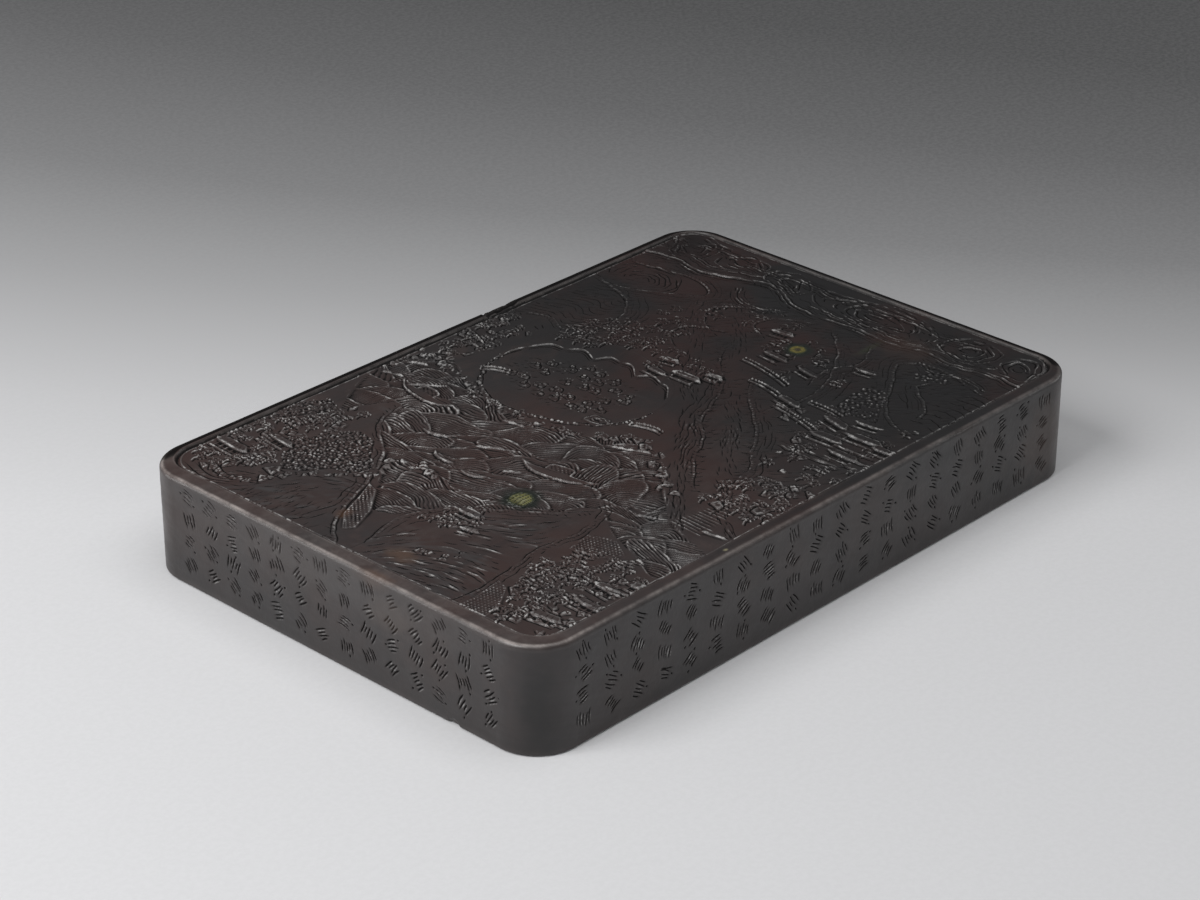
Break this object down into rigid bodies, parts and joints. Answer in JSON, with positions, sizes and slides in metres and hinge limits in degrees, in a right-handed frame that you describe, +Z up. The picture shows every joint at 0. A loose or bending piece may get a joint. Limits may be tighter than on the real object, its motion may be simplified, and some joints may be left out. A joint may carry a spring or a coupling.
{
  "type": "inkstone",
  "caption": "Large rectangular inkstone of purple slate with rounded corners, a plain rim, a landscape carved in low relief, natural green eyes and engraved sides.",
  "frame": {"origin": "middle of the underside, at the height of the surface the stone rests on", "axes": "+X along the long side, towards the carved sky and clouds; +Y along the short side; +Z up, out of the carved face"},
  "size_m": [0.3, 0.203, 0.043],
  "materials": {
    "slate": "honed and waxed, satin",
    "eye_mineral": "honed and waxed, satin"
  },
  "bodies": {
    "root": {"stone_body": "slate", "stone_eye_large": "eye_mineral", "stone_eye_small": "eye_mineral"}
  },
  "joints": []
}
